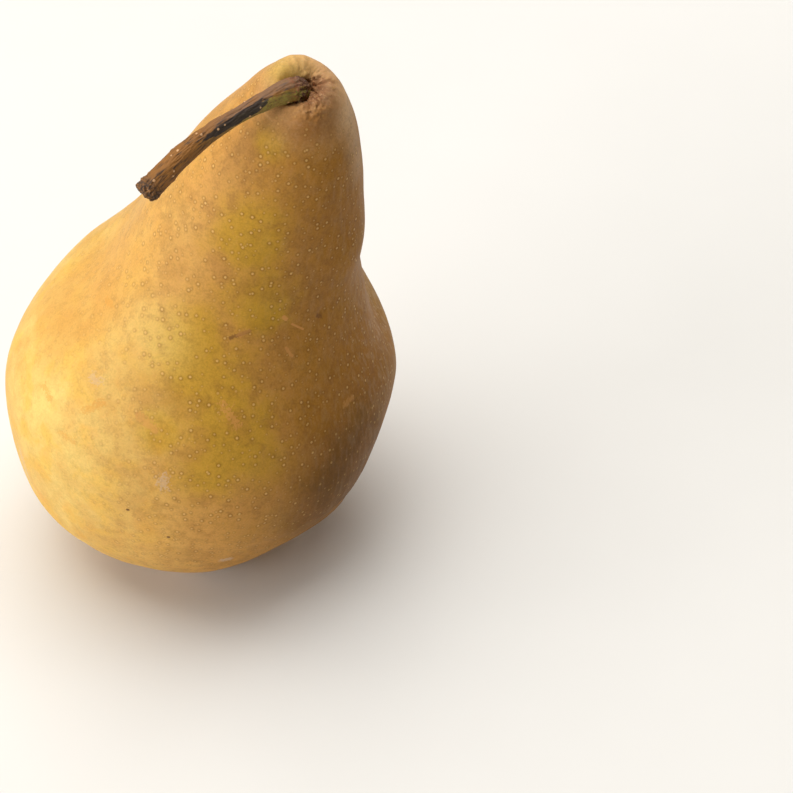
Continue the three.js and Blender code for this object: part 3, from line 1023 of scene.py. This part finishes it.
# %% Scars and scuffs, as (start, end, reach, colour, strength, crumble)
BROWN_SCAR = paint("#5f3a26")
ORANGE_SCAR = paint("#cf9350")
PINK_SCUFF = paint("#c6ac92")
AMBER = paint("#cf8f3a")
SCARS = [
    ((230, 338), (249, 331), 0.7, BROWN_SCAR, 0.6, 0.9), ((240, 335), (248, 331), 1.1, ORANGE_SCAR, 0.4, 1.5),
    ((284, 317), (286, 319), 0.7, ORANGE_SCAR, 0.9, 0.4),
    ((292, 324), (303, 329), 0.35, ORANGE_SCAR, 0.8, 0.3),
    ((222, 405), (238, 424), 1.7, ORANGE_SCAR, 0.55, 2.1),
    ((140, 416), (155, 430), 1.7, ORANGE_SCAR, 0.5, 1.2),
    ((286, 348), (292, 356), 0.6, ORANGE_SCAR, 0.6, 0.9), ((318, 316), (321, 316), 0.8, BROWN_SCAR, 0.5, 0.9),
    ((163, 478), (163, 486), 1.9, PINK_SCUFF, 0.5, 2.3), ((94, 378), (98, 381), 1.8, PINK_SCUFF, 0.35, 1.8),
    ((84, 412), (103, 402), 1.5, AMBER, 0.45, 2.0), ((44, 386), (50, 398), 1.2, AMBER, 0.45, 1.8),
    ((60, 432), (74, 441), 1.2, AMBER, 0.35, 2.0), ((106, 300), (112, 306), 1.2, AMBER, 0.35, 2.0),
    ((127, 510), (128, 510), 0.5, BROWN_SCAR, 0.9, 0.2), ((168, 537), (169, 537), 0.45, BROWN_SCAR, 0.9, 0.2),
    # The two brown scars along the crease beside the stem root are painted shade in that crease.
    ((308, 83), (306, 98), 0.5, BROWN_SCAR, 0.8, 0.5), ((306, 98), (311, 112), 0.4, BROWN_SCAR, 0.6, 0.6),
    ((345, 405), (352, 398), 1.2, ORANGE_SCAR, 0.4, 1.2), ((223, 560), (229, 559), 1.4, PINK_SCUFF, 0.6, 0.9),
]
BACK_SCARS = [
    ((100, 42), (103, 44), 1.1, BROWN_SCAR, 0.45, 1.6), ((138, 66), (150, 63), 0.5, ORANGE_SCAR, 0.7, 0.6),
    ((62, 24), (70, 21), 2.0, ORANGE_SCAR, 0.5, 1.3), ((205, 30), (207, 26), 2.0, PINK_SCUFF, 0.4, 1.8),
    ((118, 88), (122, 84), 1.1, ORANGE_SCAR, 0.5, 1.2), ((20, 44), (24, 50), 0.45, BROWN_SCAR, 0.7, 0.5),
]
SCAR_RISE = 0.03


def streak_mask(start, end, reach, crumble):
    """1 on the line between two points, falling to 0 at the reach, and crumbled by noise."""
    start, way = np.array(start), np.array(end) - np.array(start)
    from_start = place - tuple(start)
    share = f.measured("DOT_PRODUCT", from_start, tuple(way / (way @ way)))
    share = f.node("Clamp", {}, {"Value": share})
    off = from_start - f.node("VectorMath", {"operation": "SCALE"}, {0: tuple(way), "Scale": share})
    crumbled = (f.noise(place, 0.55, 3, 0.65) - 0.55) * crumble * 1.6
    return f.eased(1 - f.measured("LENGTH", off) / reach + crumbled, 0.15, 0.6)


def on_skin(spot):
    """The point of the fruit at a turn in degrees and a height up the growth line."""
    turn, height = math.radians(spot[0]), spot[1]
    inside = np.hypot(straight[:, 0], straight[:, 1]) <= RIM_RADIUS / 2
    off = np.abs((around - turn + math.pi) % (2 * math.pi) - math.pi)
    gap = off * BELLY_RADIUS + np.abs(straight[:, 2] - height)
    # Points close to the axis, such as those in the basin, never count as the nearest.
    gap[inside] = math.inf
    return fruit_points[gap.argmin()]


# %% Scars laid on: those in front go from pixel to pixel, those behind from one turn and height to another
placed_scars = [(seen_at(start), seen_at(end), *rest) for start, end, *rest in SCARS]
placed_scars += [(on_skin(start), on_skin(end), *rest) for start, end, *rest in BACK_SCARS]
scar_relief = 0.0
for start, end, reach, colour, strength, crumble in placed_scars:
    mark = streak_mask(start, end, reach, crumble)
    ground = f.mix(mark * strength, ground, colour)
    scar_relief = mark * SCAR_RISE + scar_relief
print(len(placed_scars), "scars and scuffs")

# %% Gloss and fine relief of the skin
fibre = f.noise(grown * (1, 1, 0.12), 0.5, 3, 0.6)
gloss = 0.46 + 0.14 * mottle + 0.12 * cap_share
rough = (1 - 0.6 * gold_share) * (0.008 * fibre + 0.03 * mottle)
raised = 0.05 * pore_dot * pore_fade + rough + 0.014 * leather + scar_relief
f.feed(Base_Color=ground, Roughness=gloss, Normal=f.bump(raised + 0.12 * collar_share * speckle))
f.on(skin)
print("the skin's finish has", len(f.nodes), "nodes")

# %% [markdown]
# ## The finish of the bark
# The bark is orange brown, mauve on top and still green below, with a reddish torn root, pale warts and a
# long black streak where it was bruised. The torn end is nearly black with lighter fibres. Each of these is
# a mask with its colour, and they are laid over each other with the warts last.

# %% Bark finish
BARK = paint("#88581c")
BARK_MAUVE = paint("#795c48")
BARK_GREEN = paint("#938a38")
BARK_TAN = paint("#7a5a34")
TORN_RED = paint("#b5673c")
BARK_DARK = paint("#231a17")
WART = paint("#d0a376")
FIBRE = paint("#a5744c")

b = Finish("stem bark", Roughness=0.7)
place = b.place()
strand = b.noise(b.kept("strand", "Vector"), 0.4, 4, 0.62)
fleck = b.noise(place, 0.5, 3)
patchy = b.noise(place, 3, 3)
along = b.kept("along")
under = b.kept("under")

# %% Masks of the bark, and their colours laid over each other
mauve = b.eased((1 - under) + (patchy - 0.5), 0.5, 1.1) * b.eased(along, 0.7, 0.4) * 0.65
mossy = b.eased(under + (patchy - 0.5) * 1.5 + (strand - 0.5) * 1.6, 0.2, 1.1)
mossy = mossy * b.eased(along, 0.75, 0.3) * 0.8
moss = b.mix(b.eased(fleck, 0.38, 0.62) * 0.6, BARK_GREEN, BARK_TAN)
root_red = b.eased(along, 0.22, 0.17) * b.eased(fleck, 0.46, 0.54) * 0.75
bruise = b.eased(b.kept("streak") + (fleck - 0.5) * 0.5, 0.3, 0.6) * 0.92
torn_dark = b.kept("torn") * b.eased(fleck, 0.3, 0.6) * 0.85
torn_fibre = b.kept("torn") * b.eased(b.noise(place, 0.35, 2), 0.56, 0.7) * 0.7
wart_top = b.eased(b.kept("warts"), 0.35, 0.75) * 0.85
bark_colour = b.mix(b.eased(strand, 0.3, 0.52), BARK_DARK, BARK)
for mask, colour in (
    (mauve, BARK_MAUVE), (mossy, moss), (root_red, TORN_RED), (bruise, BARK_DARK),
    (torn_dark, BARK_DARK), (torn_fibre, FIBRE), (wart_top, WART),
):
    bark_colour = b.mix(mask, bark_colour, colour)
b.feed(Base_Color=bark_colour, Roughness=0.6 + 0.25 * fleck, Normal=b.bump(0.06 * strand + 0.05 * fleck))
b.on(bark)
print("the bark's finish has", len(b.nodes), "nodes")

# %% [markdown]
# ## The finish of the calyx
# Sepals dry to a dark, dull brown with paler blotches, and the stamens to thin rusty wires.

# %% Calyx finish
DRY_DARK = paint("#2e2019")
DRY_PALE = paint("#7d5d40")
RUSTY = paint("#5d3a20")

c = Finish("dry calyx", Roughness=0.85)
place = c.place()
wilt = c.noise(place, 0.9, 4, 0.65)
crisp = c.noise(place, 0.3, 2)
c.feed(Base_Color=c.mix(c.eased(wilt, 0.35, 0.7), DRY_DARK, DRY_PALE), Roughness=0.75 + 0.2 * crisp,
       Normal=c.bump(0.08 * wilt + 0.03 * crisp))
c.on(calyx)

s = Finish("stamens", Roughness=0.8)
rust = s.noise(s.place(), 0.4, 3)
s.feed(Base_Color=s.mix(s.eased(rust, 0.3, 0.7), DRY_DARK, RUSTY), Roughness=0.7 + 0.2 * rust)
s.on(stamens)

# %% [markdown]
# ## Floor and light
# The pear stands on a plain pale floor. A low, soft light at its left acts as a window would, and a large
# soft one hangs overhead. A weak, narrow one behind it at the right draws the edge of the shaded side, and
# a warm, dim room fills the rest.

# %% Floor
FLOOR_SIZE = 6
PAPER_GREY = (0.77, 0.765, 0.75)
PAPER_WHITE = (0.8, 0.795, 0.78)

floor_mesh = bpy.data.meshes.new("floor")
h = FLOOR_SIZE / 2
floor_mesh.from_pydata([(-h, -h, 0), (h, -h, 0), (h, h, 0), (-h, h, 0)], [], [(0, 1, 2, 3)])
floor = bpy.data.objects.new("floor", floor_mesh)
scene.collection.objects.link(floor)
w = Finish("white paper", Roughness=0.9)
paper = w.noise(w.place(), 40, 2)
w.feed(Base_Color=w.mix(paper, PAPER_GREY, PAPER_WHITE))
w.on(floor)

# %% Lights, as (name, place in metres, size in metres, watts, colour)
LIGHTS = [
    ("window", (-1.05, -0.5, 0.3), (1.0, 0.6), 12, (1, 0.98, 0.95)),
    ("ceiling", (-0.2, 0.22, 1.3), (1.6, 1.6), 25, (1, 0.98, 0.94)),
    ("edge", (0.7, 0.9, 0.35), (0.25, 0.8), 2, (1, 1, 1)),
]
AIM = (0, 0, 0.055)
ROOM_COLOUR = (1, 0.9, 0.78, 1)
ROOM_STRENGTH = 0.14


def soft_light(name, place, size, power, colour):
    """A flat lamp that faces the middle of the pear."""
    lamp = bpy.data.lights.new(name, "AREA")
    lamp.shape, lamp.size, lamp.size_y = "RECTANGLE", *size
    lamp.energy, lamp.color = power, colour
    stand = bpy.data.objects.new(name, lamp)
    scene.collection.objects.link(stand)
    stand.location = place
    stand.rotation_euler = (Vector(AIM) - Vector(place)).to_track_quat("-Z", "Y").to_euler()


for light in LIGHTS:
    soft_light(*light)
world = bpy.data.worlds.new("warm room")
scene.world = world
world.use_nodes = True
room = world.node_tree.nodes["Background"]
room.inputs["Color"].default_value = ROOM_COLOUR
room.inputs["Strength"].default_value = ROOM_STRENGTH
scene.view_settings.view_transform = "Standard"
print(len(LIGHTS), "lights")

# %% [markdown]
# ## Joining the frame
# The pear has no joints, so every piece rides on its one body, root. Each stands for the CAD solid that it
# dresses.

# %% Pieces, bodies and slots
for piece, node, slot in (
    (skin, "fruit", "skin"),
    (bark, "stem", "stem_bark"),
    (calyx, "calyx", "calyx_dry"),
    (stamens, "calyx", "calyx_dry"),
):
    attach(piece, "root")
    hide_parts(node)
